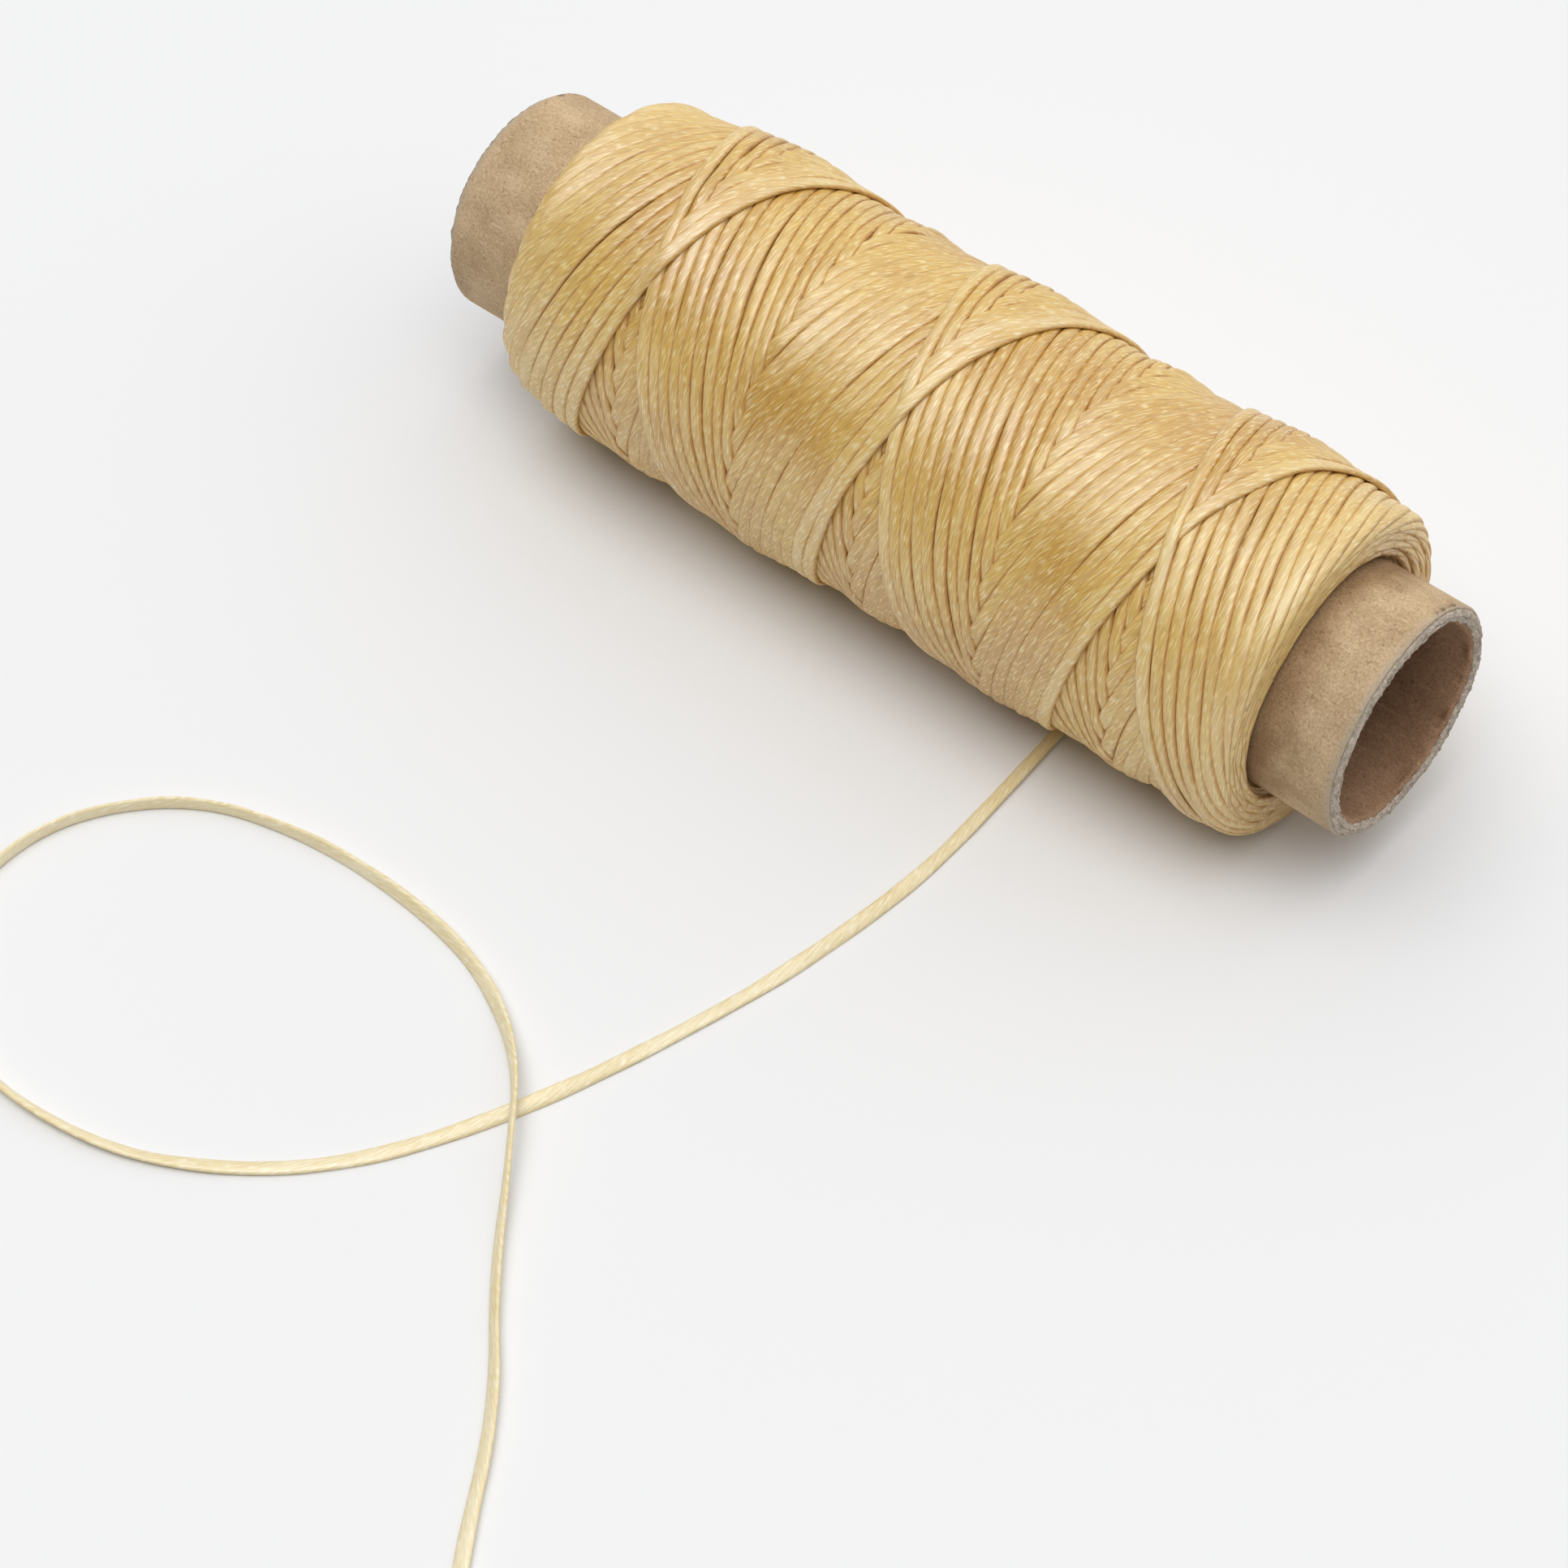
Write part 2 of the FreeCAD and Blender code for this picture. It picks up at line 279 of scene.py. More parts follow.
def noise(nodes, links, vector, scale, detail=2.0, roughness=0.5):
    node = nodes.new("ShaderNodeTexNoise")
    node.inputs["Scale"].default_value = scale
    node.inputs["Detail"].default_value = detail
    node.inputs["Roughness"].default_value = roughness
    links.new(vector, node.inputs["Vector"])
    return node.outputs["Fac"]


def mix_colour(nodes, links, mode, amount, first, second):
    node = add_node(nodes, "ShaderNodeMix", data_type="RGBA", blend_type=mode)
    feed(links, node.inputs[0], amount)
    feed(links, node.inputs[6], first)
    feed(links, node.inputs[7], second)
    return node.outputs[2]


def math_node(nodes, links, operation, first, second=0.0):
    node = add_node(nodes, "ShaderNodeMath", operation=operation)
    feed(links, node.inputs[0], first)
    feed(links, node.inputs[1], second)
    return node.outputs[0]


def bump(nodes, links, height, distance_mm, strength, shader):
    node = nodes.new("ShaderNodeBump")
    node.inputs["Strength"].default_value = strength
    node.inputs["Distance"].default_value = distance_mm * MM
    links.new(height, node.inputs["Height"])
    links.new(node.outputs["Normal"], shader.inputs["Normal"])


def along_spool(nodes, links, place):
    """How far along the spool a point lies, in metres from the middle, negative towards the far end."""
    split = nodes.new("ShaderNodeSeparateXYZ")
    links.new(place.outputs["Object"], split.inputs[0])
    return split.outputs["X"]


def from_middle(nodes, links, place):
    """Distance from the middle of the spool along it, as a value for a ramp."""
    distance = math_node(nodes, links, "ABSOLUTE", along_spool(nodes, links, place))
    return math_node(nodes, links, "MULTIPLY", distance, RAMP_PER_METRE)


# ---------------------------------------------------------------- materials
def make_thread_material(name, dark, middle, light, wax, dry_and_glint, groove_shade):
    """Waxed flat thread: short slanting pale marks along it, painted highlights for the glints of its
    filaments, honey patches where the wax lies thicker, pale ones where it has rubbed off, and painted
    shade towards its edges for the grooves between laps."""
    material, nodes, links, shader = new_material(name)
    uv = add_node(nodes, "ShaderNodeUVMap", uv_map="thread")
    split = nodes.new("ShaderNodeSeparateXYZ")
    links.new(uv.outputs["UV"], split.inputs[0])
    slant = math_node(nodes, links, "MULTIPLY", split.outputs["X"], -0.22)
    across = math_node(nodes, links, "ADD", split.outputs["Y"], slant)

    def stretched_noise(along_scale, across_scale, detail, roughness):
        """Noise with so many features to a millimetre along the thread, and so many across its fibres."""
        place = nodes.new("ShaderNodeCombineXYZ")
        links.new(math_node(nodes, links, "MULTIPLY", split.outputs["X"], along_scale), place.inputs["X"])
        links.new(math_node(nodes, links, "MULTIPLY", across, across_scale), place.inputs["Y"])
        return noise(nodes, links, place.outputs[0], 1.0, detail, roughness)

    fibres = stretched_noise(0.8, 9.0, 2.0, 0.6)
    glint_noise = stretched_noise(1.45, 8.2, 0.3, 0.4)
    dryness = stretched_noise(0.16, 0.8, 1.0, 0.5)
    place = nodes.new("ShaderNodeTexCoord")
    blotches = noise(nodes, links, place.outputs["Object"], 105.0, 2.5, 0.5)

    colour = ramp(nodes, links, fibres, ((0.28, dark), (0.48, middle), (0.70, light)))
    patch = ramp(nodes, links, blotches, ((0.44, BLACK), (0.63, WHITE)))
    waxed = mix_colour(nodes, links, "MULTIPLY", patch, colour, wax)
    dry_patch = ramp(nodes, links, dryness, ((0.52, BLACK), (0.78, grey(0.3))))
    dried = mix_colour(nodes, links, "MIX", dry_patch, waxed, dry_and_glint)
    # Paler towards both ends of the winding.
    paler_end_mask = ramp(nodes, links, from_middle(nodes, links, place), ((0.46, BLACK), (0.60, grey(0.22))))
    rubbed = mix_colour(nodes, links, "MIX", paler_end_mask, dried, dry_and_glint)
    # Painted highlights: short slanting pale marks stand in for the glints of the filaments.
    painted_glints = ramp(nodes, links, glint_noise, ((0.55, BLACK), (0.70, grey(0.55))))
    with_painted_glints = mix_colour(nodes, links, "MIX", painted_glints, rubbed, dry_and_glint)
    # Painted shade of the grooves between laps: towards each edge the thread is darker, except where wax
    # has levelled the grooves.
    from_centre_line = math_node(nodes, links, "ABSOLUTE", split.outputs["Y"])
    painted_edge_shade = ramp(nodes, links, from_centre_line, ((0.34, BLACK), (0.47, WHITE)))
    unlevelled_groove_shade = ramp(nodes, links, blotches, ((0.40, WHITE), (0.64, grey(0.25))))
    edge = mix_colour(nodes, links, "MULTIPLY", 1.0, painted_edge_shade, unlevelled_groove_shade)
    final = mix_colour(nodes, links, "MULTIPLY", edge, with_painted_glints, groove_shade)
    links.new(final, shader.inputs["Base Color"])
    wax_roughness = ramp(nodes, links, blotches, ((0.4, grey(0.48)), (0.65, grey(0.38))))
    roughness = mix_colour(nodes, links, "MIX", edge, wax_roughness, grey(0.85))
    links.new(roughness, shader.inputs["Roughness"])
    shader.inputs["Specular IOR Level"].default_value = 0.9
    shader.inputs["IOR"].default_value = 1.86
    bump(nodes, links, fibres, 0.05, 0.7, shader)
    return material


def lip_shade_and_wear(nodes, links, place, colour, clouds, grains, worn):
    """Gives the paper painted shade, with some soiling, beside the near end of the winding, where its lip
    overhangs, and rubs the paper through at the cut edges.
    """
    x = along_spool(nodes, links, place)
    uneven = math_node(nodes, links, "MULTIPLY", clouds, 4 * MM)
    reach = math_node(nodes, links, "ADD", x, uneven)
    reach = math_node(nodes, links, "MULTIPLY", reach, RAMP_PER_METRE)
    # Painted shade of the winding's overhanging lip, with some soiling: a darker band on the paper beside
    # the near end.
    lip_shade_stops = ((0.0, BLACK), (0.60, BLACK), (0.62, WHITE), (0.675, WHITE), (0.73, BLACK))
    lip_shade_and_soil = ramp(nodes, links, reach, lip_shade_stops)
    colour = mix_colour(nodes, links, "MULTIPLY", lip_shade_and_soil, colour, (0.62, 0.55, 0.48))
    fine = math_node(nodes, links, "MULTIPLY", grains, 1.6 * MM)
    edge = math_node(nodes, links, "ADD", math_node(nodes, links, "ABSOLUTE", x), fine)
    edge = math_node(nodes, links, "MULTIPLY", edge, RAMP_PER_METRE)
    rubbed = ramp(nodes, links, edge, ((0.743, BLACK), (0.757, grey(0.85))))
    return mix_colour(nodes, links, "MIX", rubbed, colour, worn)


def make_paper_material(name, dark, middle, light, speck, cloud=350.0, grain=6000.0, worn=None, bore_shade=None):
    """Paper or board: soft clouds, fine grain, short crossed fibres and a few specks.
    With a colour for worn edges it gets painted shade, with some soiling, beside the near end of the
    winding, and is rubbed through at its cut edges. Given a colour for the bore's shade, it is darker away
    from its
    ends: painted shade far inside the bore."""
    material, nodes, links, shader = new_material(name)
    place = nodes.new("ShaderNodeTexCoord")
    clouds = noise(nodes, links, place.outputs["Object"], cloud, 2.0, 0.5)
    grains = noise(nodes, links, place.outputs["Object"], grain, 2.0, 0.6)
    cloud_part = math_node(nodes, links, "MULTIPLY", clouds, 0.4)
    grain_part = math_node(nodes, links, "MULTIPLY", grains, 0.6)
    both = math_node(nodes, links, "ADD", cloud_part, grain_part)
    base = ramp(nodes, links, both, ((0.34, dark), (0.50, middle), (0.66, light)))
    stretched = nodes.new("ShaderNodeMapping")
    stretched.inputs["Rotation"].default_value = (0.4, 0.7, 0.5)
    stretched.inputs["Scale"].default_value = (700, 5200, 5200)
    links.new(place.outputs["Object"], stretched.inputs["Vector"])
    fibres = noise(nodes, links, stretched.outputs[0], 1.0, 1.0, 0.5)
    fibre_mask = ramp(nodes, links, fibres, ((0.65, BLACK), (0.74, grey(0.8))))
    with_fibres = mix_colour(nodes, links, "MIX", fibre_mask, base, light)
    spots = noise(nodes, links, place.outputs["Object"], 4200.0, 1.0, 0.5)
    spot_mask = ramp(nodes, links, spots, ((0.65, BLACK), (0.74, grey(0.5))))
    final = mix_colour(nodes, links, "MIX", spot_mask, with_fibres, speck)
    if worn:
        final = lip_shade_and_wear(nodes, links, place, final, clouds, grains, worn)
    if bore_shade:
        # Painted shade far inside the bore, fading out towards its ends.
        painted_bore_shade = ramp(nodes, links, from_middle(nodes, links, place), ((0.52, WHITE), (0.73, BLACK)))
        final = mix_colour(nodes, links, "MULTIPLY", painted_bore_shade, final, bore_shade)
    links.new(final, shader.inputs["Base Color"])
    shader.inputs["Roughness"].default_value = 0.9
    shader.inputs["Specular IOR Level"].default_value = 0.2
    bump(nodes, links, grains, 0.04, 0.5, shader)
    return material


# ---------------------------------------------------------------- loose end of the thread
# Route, in millimetres: on the table, with one low hump where the thread crosses itself.
LIE = 0.45
CROSSING = 1.40
TAIL_ROUTE = (
    (15.1, -3.2, LIE),
    (16.0, -13.0, LIE),
    (16.5, -22.0, LIE),
    (15.5, -31.6, LIE),
    (13.3, -40.8, LIE),
    (10.5, -50.4, LIE),
    (6.2, -59.3, LIE),
    (0.9, -65.3, LIE),
    (-7.0, -70.0, LIE),
    (-18.6, -70.9, LIE),
    (-27.2, -64.2, LIE),
    (-28.4, -54.8, LIE),
    (-23.0, -47.2, LIE),
    (-15.0, -44.5, LIE),
    (-6.6, -43.9, LIE),
    (1.3, -45.0, LIE),
    (7.9, -49.0, CROSSING),
    (12.6, -54.7, CROSSING),
    (17.5, -61.2, LIE),
    (23.7, -67.5, LIE),
    (28.8, -75.6, LIE),
    (33.8, -82.0, LIE),
    (40.8, -86.8, LIE),
)
# How far the flat thread is turned about its own length: distance along it, degrees.
TAIL_TWIST = (
    (0, 15), (10, 12), (18, -5), (26, -30), (32, 0), (38, 5), (46, -25), (51, -25), (58, 0), (66, 5),
    (72, 25), (80, 45), (90, 70), (104, 90), (120, 88), (130, 60), (140, 42), (147, 65), (152, 80),
    (160, 55), (166, 58), (172, 40), (178, 22), (190, 5),
)


def nurbs_points(route_mm):
    """Points read from a NURBS spline with the route as its control points, in millimetres."""
    data = bpy.data.curves.new("route", "CURVE")
    data.dimensions = "3D"
    data.resolution_u = 24
    spline = data.splines.new("NURBS")
    spline.points.add(len(route_mm) - 1)
    for point, place in zip(spline.points, route_mm):
        point.co = tuple(value * MM for value in place) + (1,)
    spline.order_u = 3
    spline.use_endpoint_u = True
    obj = bpy.data.objects.new("route", data)
    line = bpy.data.meshes.new_from_object(obj)
    points = np.array([vertex.co for vertex in line.vertices], float) / MM
    bpy.data.objects.remove(obj)
    bpy.data.curves.remove(data)
    bpy.data.meshes.remove(line)
    return points


def lengths_along(points):
    steps = np.linalg.norm(np.diff(points, axis=0), axis=1)
    return np.concatenate([[0], np.cumsum(steps)])


def make_tail(material):
    """The loose end as a flat thread that turns about its own length as it lies on the table.
    Returns the place, the direction across and the direction up where it leaves the winding."""
    points = nurbs_points(TAIL_ROUTE)
    lengths = lengths_along(points)
    forward = unit(np.gradient(points, axis=0))
    level = unit(np.cross((0, 0, 1), forward))
    upright = np.cross(forward, level)
    twist = np.radians(np.interp(lengths, *np.array(TAIL_TWIST, float).T))
    twist = smoothed(twist, 15)
    across = level * np.cos(twist)[:, None] + upright * np.sin(twist)[:, None]
    up = np.cross(forward, across)
    widths = TAIL_WIDTH * (1 + 0.05 * np.sin(lengths * 0.9) * np.sin(lengths * 0.23 + 1))
    rings = thread_rings(TAIL_OUTLINE, points, across, up, widths, TAIL_THICKNESS)
    # Each ring rests on the table, except over the hump.
    lowest = rings[:, :, 2].min(axis=1)
    lying = np.clip(1 - (points[:, 2] - LIE) / (CROSSING - LIE), 0, 1)
    rings[:, :, 2] -= (lowest * lying)[:, None]
    tail = add_thread("loose_thread", [(rings, lengths + TAIL_TEXTURE_START, 1.0)], TAIL_OUTLINE, material)
    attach(tail, BODY)
    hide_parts("thread_tail")
    return points[0], across[0], up[0]


# ---------------------------------------------------------------- winding
def end_radius(distance, profile):
    """Radius of the winding's outside at this distance from its middle, towards one end."""
    start, curve, corner, edge = (profile[key] for key in ("start", "curve", "corner", "edge"))
    corner_x = edge - corner
    corner_y = WINDING_RADIUS - curve + math.sqrt((curve - corner) ** 2 - (corner_x - start) ** 2)
    joint_x = start + (corner_x - start) * curve / (curve - corner)
    long_curve = WINDING_RADIUS - curve + np.sqrt(np.maximum(curve**2 - (distance - start) ** 2, 0))
    rounded = corner_y + np.sqrt(np.maximum(corner**2 - (distance - corner_x) ** 2, 0))
    return np.where(distance < start, WINDING_RADIUS, np.where(distance < joint_x, long_curve, rounded))


def outside_radius(x):
    """Radius of the winding's outside along the spool."""
    x = np.asarray(x, float)
    return np.where(x < 0, end_radius(-x, FAR_PROFILE), end_radius(x, NEAR_PROFILE))


def laid_radius(pair):
    """Radius at which this pair of traverses is laid."""
    return CORE_RADIUS + BUILD_UP * pair / TRAVERSE_PAIRS


# The winding unrolled as a grid of heights: rows go round the spool and columns along it.
STEP_DEGREES = 0.5
GRID_ROWS = int(360 / STEP_DEGREES)
CELL = 0.1
GRID_LOW = -31.0
GRID_COLUMNS = 640
LAPS_LOW = -28.9  # past these two only the edges of a few laps lie
LAPS_HIGH = 31.2
RING_EVERY = 6  # steps from one ring of vertices to the next
FOOT = np.arange(-4, 5)  # cells across the thread that it rests on
PROFILE_ACROSS = np.sqrt(np.clip(1 - np.abs(FOOT * CELL * 2 / THREAD_WIDTH) ** 2.2, 0, 1))
# Cells across the thread at which it may be seen, and how far its top has dropped there.
SEEN_FROM = ((-4, 0.22), (-3, 0.12), (-1, 0.0), (1, 0.0), (3, 0.12), (4, 0.22))
SUNK = 0.05  # the top may lie this far below the final height and still be seen


def grid_rows(angle):
    return np.floor((angle % 360) / STEP_DEGREES).astype(int) % GRID_ROWS


def grid_columns(x):
    return np.round((x - GRID_LOW) / CELL).astype(int)


def smooth_noise(random, positions, wavelengths):
    """Sum of slow waves of random phase, about 1 high."""
    total = np.zeros_like(positions)
    for wavelength in wavelengths:
        total += np.sin(positions * (2 * math.pi / wavelength) + random.uniform(0, 2 * math.pi))
    return total / math.sqrt(len(wavelengths))


def traverse(pair, rising, random):
    """One traverse in steps of STEP_DEGREES of turn: x, angle, length along it, and how spread it is."""
    length = EXIT_TURN if pair == TRAVERSE_PAIRS else TRAVERSE_TURNS
    steps = int(round(length * 360 / STEP_DEGREES))
    begin = 0.0 if rising else TRAVERSE_TURNS
    turns = begin + np.arange(steps) * STEP_DEGREES / 360
    x = LEFT_END + LEAD * turns if rising else RIGHT_END - LEAD * (turns - TRAVERSE_TURNS)

    # Each end of the traverse is rounded off.
    into = turns % TRAVERSE_TURNS
    from_end = np.minimum(into, TRAVERSE_TURNS - into)
    rounding = np.clip(TURN_ROUND - from_end, 0, None) ** 2 * LEAD / (2 * TURN_ROUND)
    nearer_right = x > (LEFT_END + RIGHT_END) / 2
    x = x - np.where(nearer_right, rounding, -rounding)

    # Laps slide down the far shoulder, and the first third of the passes stops short of the near lip.
    past = np.clip(-FAR_SLIP_START - x, 0, None) / (-FAR_SLIP_START - LEFT_END - LEAD * TURN_ROUND / 2)
    x = x - FAR_SLIP * past**2
    inset = NEAR_ROOT_INSET * max(0.0, 1 - 3 * (pair / TRAVERSE_PAIRS))
    x = x - inset * np.clip((x - NEAR_ROOT_START) / NEAR_ROOT_RUN, 0, 1) ** 2

    # Angles count back from the point where the thread leaves the winding.
    whole = (pair - TRAVERSE_PAIRS) * 2 * TRAVERSE_TURNS + turns - EXIT_TURN
    angle = EXIT_ANGLE - 360 * whole

    # Laps wander a little from their places, and less near both ends.
    arc = np.arange(steps) * math.radians(STEP_DEGREES) * laid_radius(pair)
    fade = np.clip((TRAVERSE_TURNS / 2 - np.abs(into - TRAVERSE_TURNS / 2)) / 0.3, 0, 1)
    wander = DRIFT * smooth_noise(random, arc, (9.0, 16.0, 37.0)) + random.normal(0, SCATTER)
    x = x + wander * (0.4 + 0.6 * fade)
    return x, angle, arc, 1 + FAR_SPREAD * past


def taut(height, step_mm, radius):
    """The line a thread under tension takes over a bumpy round: it touches the high places and is
    straight between them, which over a round of this radius is a shallow sag."""
    along = np.arange(len(height)) * step_mm
    sag = along**2 / (2 * radius)
    level = height - sag
    hull = [0]
    for i in range(1, len(level)):
        while len(hull) > 1:
            a, b = hull[-2], hull[-1]
            if (level[b] - level[a]) * (i - a) >= (level[i] - level[a]) * (b - a):
                break
            hull.pop()
        hull.append(i)
    return np.interp(along, along[hull], level[hull]) + sag


def settle(under, radius):
    """Height and tilt of a lap at each ring, from the heights under its foot at each step."""
    rings = len(under) // RING_EVERY
    kept = rings * RING_EVERY
    # It rests between the mean and the highest of what its middle lies on.
    inner_foot = under[:, 2:-2]
    support = 0.6 * inner_foot.mean(axis=1) + 0.4 * inner_foot.max(axis=1)
    support = support[:kept].reshape(rings, RING_EVERY).max(axis=1)
    line = taut(support, radius * math.radians(STEP_DEGREES) * RING_EVERY, radius)
    line = np.convolve(np.pad(line, 1, mode="edge"), (0.25, 0.5, 0.25), mode="valid")
    # Across its width it leans part of the way with what it lies on.
    tilt = (under[:, -4:].mean(axis=1) - under[:, :4].mean(axis=1)) / (5 * CELL)
    tilt = np.clip(tilt[:kept].reshape(rings, RING_EVERY).mean(axis=1) * 0.4, -0.3, 0.3)
    return line, smoothed(tilt, 5)


def wind_thread():
    """Lays every traverse on the height of what lies beneath it. Returns the laps, one for each traverse,
    and the final heights."""
    random = np.random.default_rng(21)
    height = np.zeros((GRID_ROWS, GRID_COLUMNS))
    laps = []
    for pair in range(TRAVERSE_PAIRS + 1):
        for rising in (True, False):
            last = pair == TRAVERSE_PAIRS
            if last and not rising:
                continue
            x, angle, arc, spread = traverse(pair, rising, random)
            cells = grid_rows(angle)[:, None], grid_columns(x)[:, None] + FOOT
            line, tilt = settle(height[cells], laid_radius(pair))
            middle = np.arange(len(line)) * RING_EVERY + RING_EVERY // 2
            fine_line = np.interp(np.arange(len(x)), middle, line)
            fine_tilt = np.interp(np.arange(len(x)), middle, tilt)
            top = fine_line[:, None] + fine_tilt[:, None] * FOOT * CELL + THREAD_THICKNESS * PROFILE_ACROSS
            np.maximum.at(height, cells, top)
            laps.append(
                {
                    "pair": pair,
                    "x": x[middle],
                    "angle": angle[middle],
                    "arc": arc[middle],
                    "low": line,
                    "tilt": tilt,
                    "last": last,
                    "pressed": rising,
                    "spread": spread[middle],
                }
            )
    return laps, height


def mean_height(height):
    """Smooth mean height along the spool, held level past the last laps."""
    x = GRID_LOW + np.arange(GRID_COLUMNS) * CELL
    inside = (x > LAPS_LOW) & (x < LAPS_HIGH)
    mean = np.interp(x, x[inside], height.mean(axis=0)[inside])
    return x, smoothed(mean, 21)


def is_seen(lap, height):
    """True where some of the thread's top is the uppermost thing, or it turns round at an end face."""
    rows = grid_rows(lap["angle"])
    seen = np.zeros(len(rows), bool)
    for reach, drop in SEEN_FROM:
        top = lap["low"] + lap["tilt"] * reach * CELL + THREAD_THICKNESS * (1 - drop)
        seen |= top > height[rows, grid_columns(lap["x"]) + reach] - SUNK
    seen |= lap["x"] > NEAR_PROFILE["edge"] - NEAR_END_KEPT
    seen |= lap["x"] < -FAR_PROFILE["edge"] + FAR_END_KEPT
    for _ in range(HIDDEN_RINGS):
        seen[1:] |= seen[:-1].copy()
        seen[:-1] |= seen[1:].copy()
    return seen


def lap_rings(lap, mean_x, mean):
    """Rings of vertices along one lap, from its unrolled place and height."""
    full = outside_radius(lap["x"])
    scale = (full - CORE_RADIUS) / np.interp(lap["x"], mean_x, mean)
    radius = CORE_RADIUS + (lap["low"] + THREAD_THICKNESS / 2) * scale
    angle = np.radians(lap["angle"])
    outwards = np.stack([np.zeros_like(angle), np.cos(angle), np.sin(angle)], -1)
    centres = outwards * radius[:, None]
    centres[:, 0] = lap["x"]
    centres[:, 2] += AXIS_HEIGHT
    slope = (outside_radius(lap["x"] + 0.05) - outside_radius(lap["x"] - 0.05)) / 0.1
    slope = np.clip(slope, -1.6, 1.6)
    normal = outwards - np.array([1.0, 0, 0]) * slope[:, None]
    forward = unit(np.gradient(centres, axis=0))
    normal = unit(normal - forward * (normal * forward).sum(-1, keepdims=True))
    across = np.cross(normal, forward)
    across *= np.sign(across[:, :1])
    across = unit(across + normal * lap["tilt"][:, None])
    up = np.cross(forward, across)
    up *= np.sign((up * normal).sum(-1, keepdims=True))
    share = 1.0 if lap["pressed"] else 0.95
    widths = THREAD_WIDTH * share * lap["spread"] * (1 + 0.05 * np.sin(lap["arc"] * 0.55 + lap["pair"]))
    outline = PRESSED_OUTLINE if lap["pressed"] else THREAD_OUTLINE
    rings = thread_rings(outline, centres, across, up, widths, THREAD_THICKNESS)
    rings[:, :, 2] = np.maximum(rings[:, :, 2], 0.0)
    return rings


def join_turns(all_rings):
    """Draws each lap's last rings and the next lap's first ones together, so that the thread turns
    round unbroken."""
    fade = (1 - np.arange(TURN_RINGS) / TURN_RINGS) ** 2
    for one, following in zip(all_rings, all_rings[1:]):
        step = (following[0] - one[-1]) / 2
        one[-TURN_RINGS:] += fade[::-1, None, None] * step
        following[:TURN_RINGS] -= fade[:, None, None] * step


def runs(flags):
    """Start and end of each unbroken run of true flags."""
    edges = np.flatnonzero(np.diff(np.concatenate([[False], flags, [False]]).astype(int)))
    return zip(edges[::2], edges[1::2])


def lead_out(strip, lengths, tail_start):
    """Runs the last lap on into the start of the loose end."""
    place, across, up = (part[None] for part in tail_start)
    tail_ring = thread_rings(PRESSED_OUTLINE, place, across, up, np.array([TAIL_WIDTH]), TAIL_THICKNESS)[0]
    added = [strip[-1] * (1 - share) + tail_ring * share for share in LEAD_OUT_SHARES]
    added_lengths = lengths[-1] + np.array(LEAD_OUT_LENGTHS)
    return np.concatenate([strip, added]), np.concatenate([lengths, added_lengths])


def make_winding(material, newest_material, tail_start):
    """The stretches of thread that can be seen, as one object for each layer."""
    laps, height = wind_thread()
    mean_x, mean = mean_height(height)
    all_rings = [lap_rings(lap, mean_x, mean) for lap in laps]
    join_turns(all_rings)
    layers = {name: [] for name in LAYER_AGES}
    for index, (lap, rings) in enumerate(zip(laps, all_rings)):
        age = TRAVERSE_PAIRS - lap["pair"]
        layer = [name for name, youngest in LAYER_AGES.items() if age >= youngest][-1]
        # How far the painted shade of the grooves reaches into each edge of the lap.
        edge = PRESSED_EDGE_SHADE if lap["pressed"] else 1.0
        seen = is_seen(lap, height)
        if lap["last"]:
            seen[-LAST_RINGS_KEPT:] = True
        for begin, end in runs(seen):
            if end - begin < SHORTEST_STRIP:
                continue
            strip = rings[begin:end]
            lengths = lap["arc"][begin:end] + index * TEXTURE_SHIFT
            if lap["last"] and end == len(seen):
                strip, lengths = lead_out(strip, lengths, tail_start)
            layers[layer].append((strip, lengths, edge))
    for layer, strips in layers.items():
        name = "wound_thread_" + layer
        obj = add_thread(name, strips, THREAD_OUTLINE, newest_material if layer == "newest" else material)
        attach(obj, BODY)
        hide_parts("thread_winding")


def make_under_layers(material):
    """What shows in the gaps between laps: the layers beneath, as one body."""
    x = np.linspace(-FAR_PROFILE["edge"] + UNDER_FAR_INSET, NEAR_PROFILE["edge"] - UNDER_NEAR_INSET, 60)
    radius = outside_radius(x) - UNDER_DEPTH
    near_foot = (x[-1] - UNDER_NEAR_SLANT, CORE_RADIUS)
    far_foot = (x[0], CORE_RADIUS)
    outline = np.array([near_foot] + list(zip(x, radius))[::-1] + [far_foot])
    around = 128
    angles = np.arange(around) * 2 * math.pi / around
    vertices = np.zeros((around, len(outline), 3))
    vertices[:, :, 0] = outline[:, 0]
    vertices[:, :, 1] = np.cos(angles)[:, None] * outline[:, 1]
    vertices[:, :, 2] = AXIS_HEIGHT + np.sin(angles)[:, None] * outline[:, 1]
    faces = turned_faces(around, len(outline))
    body = add_mesh("wound_thread_core_layers", vertices.reshape(-1, 3), faces, material)
    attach(body, BODY)
    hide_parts("thread_winding")


# ---------------------------------------------------------------- core
# Places along a ply, closest together towards its ends.
PLY_STATIONS = np.concatenate(
    [
        np.linspace(RIM_DEPTH - CORE_END, -30, 12),
        np.linspace(-28, 29, 20),
        np.linspace(30.5, CORE_END - RIM_DEPTH, 12),
    ]
)


def ply_outline(outside, inside, rim_steps):
    """Points (x, radius) round the wall of a ply."""
    rim = np.linspace(outside, inside, rim_steps)
    outer_side = [(x, outside) for x in PLY_STATIONS]
    near_rim = [(CORE_END, radius) for radius in rim]
    inner_side = [(x, inside) for x in PLY_STATIONS[::-1]]
    far_rim = [(-CORE_END, radius) for radius in rim[::-1]]
    return np.array(outer_side + near_rim + inner_side + far_rim)


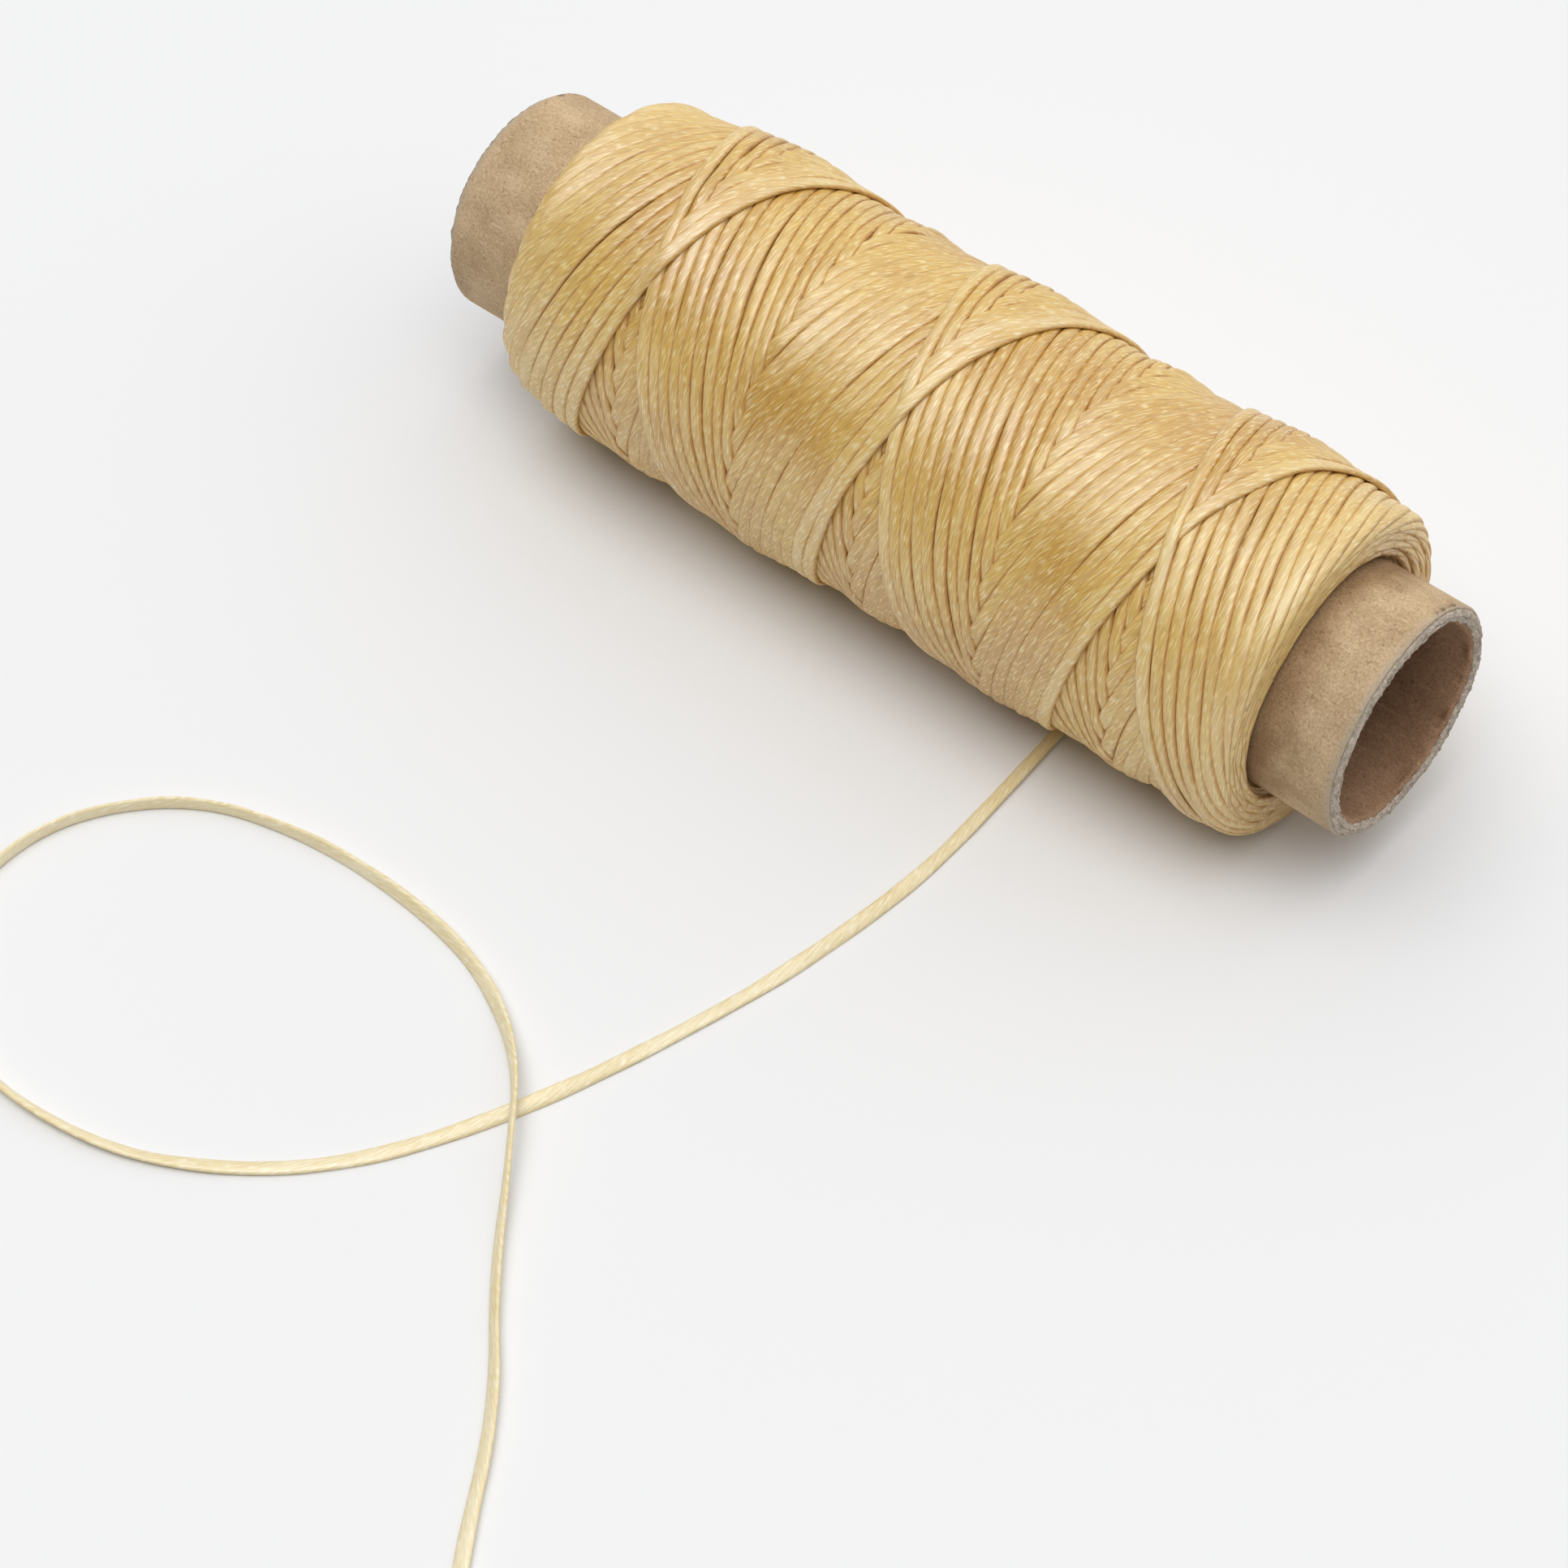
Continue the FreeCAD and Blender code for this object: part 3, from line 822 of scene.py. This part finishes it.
def make_ply(node, material, slot, rim_steps):
    """One ply of the core: a tube a little out of round, with a worn and uneven cut edge at each end."""
    low, high = (np.array(corner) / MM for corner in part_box(node))
    outside = (high[2] - low[2]) / 2
    outline = ply_outline(outside, outside - PLY_THICKNESS[slot], rim_steps)
    random = np.random.default_rng(int(outside * 100))
    around = 360
    angles = np.arange(around) * 2 * math.pi / around
    x = np.repeat(outline[None, :, 0], around, axis=0)
    r = np.repeat(outline[None, :, 1], around, axis=0)
    oval = 0.07 * np.cos(2 * (angles - 0.9)) + 0.03 * np.cos(3 * angles + 1.1) + 0.02 * np.cos(5 * angles)
    end_share = np.clip((np.abs(x) - 28) / 9, 0, 1)
    r = r + oval[:, None] * end_share

    # The rims: cut a little aslant, rough, worn back towards the outer and inner surface, and ragged.
    is_rim = np.abs(x) > CORE_END - 0.1
    wave = 0.10 * np.cos(angles + 2.0) + 0.05 * np.cos(3 * angles) + 0.04 * np.cos(7 * angles + 1)
    rough = random.normal(0, 0.015 if slot == "kraft_paper" else 0.045, x.shape)
    rough = (rough + np.roll(rough, 1, axis=0) + np.roll(rough, -1, axis=0)) / 1.7
    from_mid_wall = (r - oval[:, None] - (CORE_RADIUS - CORE_WALL / 2)) / (CORE_WALL / 2)
    worn = 0.42 * np.abs(from_mid_wall) ** 2.5
    x = x + np.where(is_rim, np.sign(x) * (0.6 * wave[:, None] + rough + 0.12 - worn), 0)
    ragged = 0.05 * np.sin(9 * angles + 1) + 0.04 * np.sin(17 * angles) + 0.03 * np.sin(31 * angles + 2)
    r = r - np.where(is_rim, ragged[:, None] * (0.5 - 0.5 * from_mid_wall), 0)

    vertices = np.stack([x, np.cos(angles)[:, None] * r, AXIS_HEIGHT + np.sin(angles)[:, None] * r], -1)
    ply = add_mesh(node + "_paper", vertices.reshape(-1, 3), turned_faces(around, len(outline)), material)
    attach(ply, BODY)
    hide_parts(node)


# ---------------------------------------------------------------- stage
def make_table():
    material, _, _, shader = new_material("table_top")
    shader.inputs["Base Color"].default_value = (0.821, 0.824, 0.831, 1)
    shader.inputs["Roughness"].default_value = 0.7
    shader.inputs["Specular IOR Level"].default_value = 0.25
    side = 3000.0
    corners = [(-side, -side, 0), (side, -side, 0), (side, side, 0), (-side, side, 0)]
    table = add_mesh("table_top", corners, [(0, 1, 2, 3)], material, smooth=False)


def make_surround():
    """A surround that is dark low down and bright above and behind."""
    world = bpy.data.worlds.new("surround")
    bpy.context.scene.world = world
    world.use_nodes = True
    nodes, links = world.node_tree.nodes, world.node_tree.links
    direction = nodes.new("ShaderNodeTexCoord")
    towards = add_node(nodes, "ShaderNodeVectorMath", operation="DOT_PRODUCT")
    links.new(direction.outputs["Generated"], towards.inputs[0])
    towards.inputs[1].default_value = (0.0, 0.45, 0.89)
    dark_low = (0.05, 0.05, 0.051)
    sky = ramp(nodes, links, towards.outputs["Value"], ((0.18, dark_low), (0.62, grey(1.09))))
    links.new(sky, nodes["Background"].inputs["Color"])
    nodes["Background"].inputs["Strength"].default_value = 0.785
    # Seen directly, past the table's far edge, the surround is as pale as the table.
    pale = nodes.new("ShaderNodeBackground")
    pale.inputs["Color"].default_value = (0.885, 0.89, 0.895, 1)
    ray = nodes.new("ShaderNodeLightPath")
    either = nodes.new("ShaderNodeMixShader")
    links.new(ray.outputs["Is Camera Ray"], either.inputs["Fac"])
    links.new(nodes["Background"].outputs["Background"], either.inputs[1])
    links.new(pale.outputs["Background"], either.inputs[2])
    links.new(either.outputs["Shader"], nodes["World Output"].inputs["Surface"])


def make_light(name, beam, energy):
    """A large soft light from far away."""
    sun = bpy.data.lights.new(name, "SUN")
    sun.energy = energy
    sun.angle = math.radians(48)
    light = bpy.data.objects.new(name, sun)
    bpy.context.scene.collection.objects.link(light)
    light.rotation_mode = "QUATERNION"
    light.rotation_quaternion = Vector(beam).to_track_quat("-Z", "Y")


make_camera()
# Thread colours: fibres dark, middle and light, wax patches, dry patches and glints, and the painted shade
# at the edges.
thread_material = make_thread_material(
    "waxed_thread", srgb(193, 147, 52), srgb(216, 173, 71), srgb(234, 197, 98), (0.87, 0.77, 0.60),
    srgb(253, 234, 174), (0.70, 0.50, 0.27),
)
newest_material = make_thread_material(
    "waxed_thread_newest", srgb(206, 166, 78), srgb(226, 188, 100), srgb(240, 209, 126), (0.90, 0.81, 0.64),
    srgb(254, 240, 200), (0.78, 0.62, 0.40),
)
tail_material = make_thread_material(
    "waxed_thread_loose", srgb(226, 205, 146), srgb(236, 219, 170), srgb(244, 231, 194), (0.94, 0.90, 0.78),
    srgb(254, 246, 220), (0.96, 0.93, 0.84),
)
# The kraft's worn colour also brings in the painted shade beside the winding's near end.
kraft = make_paper_material(
    "kraft_paper", srgb(172, 145, 111), srgb(193, 166, 131), srgb(214, 188, 153), srgb(122, 92, 66),
    worn=srgb(182, 170, 154),
)
board = make_paper_material(
    "grey_board", srgb(150, 137, 122), srgb(182, 169, 153), srgb(212, 199, 181), srgb(120, 106, 92),
    cloud=1300.0, grain=5200.0,
)
# The liner's last colour darkens it far inside the bore: painted shade.
liner = make_paper_material(
    "liner_paper", srgb(144, 111, 85), srgb(166, 131, 102), srgb(188, 152, 121), srgb(98, 73, 54),
    bore_shade=(0.50, 0.46, 0.43),
)
tail_start = make_tail(tail_material)
make_winding(thread_material, newest_material, tail_start)
make_under_layers(thread_material)
make_ply("core_outer_ply", kraft, "kraft_paper", 3)
make_ply("core_board_outer_ply", board, "grey_board", 5)
make_ply("core_board_inner_ply", board, "grey_board", 5)
make_ply("core_inner_liner", liner, "liner_paper", 3)
make_table()
make_surround()
make_light("left_light", (0.16, 0.23, -0.96), 0.74)
make_light("right_light", (-0.18, 0.27, -0.95), 0.77)
bpy.context.scene.view_settings.view_transform = "Standard"
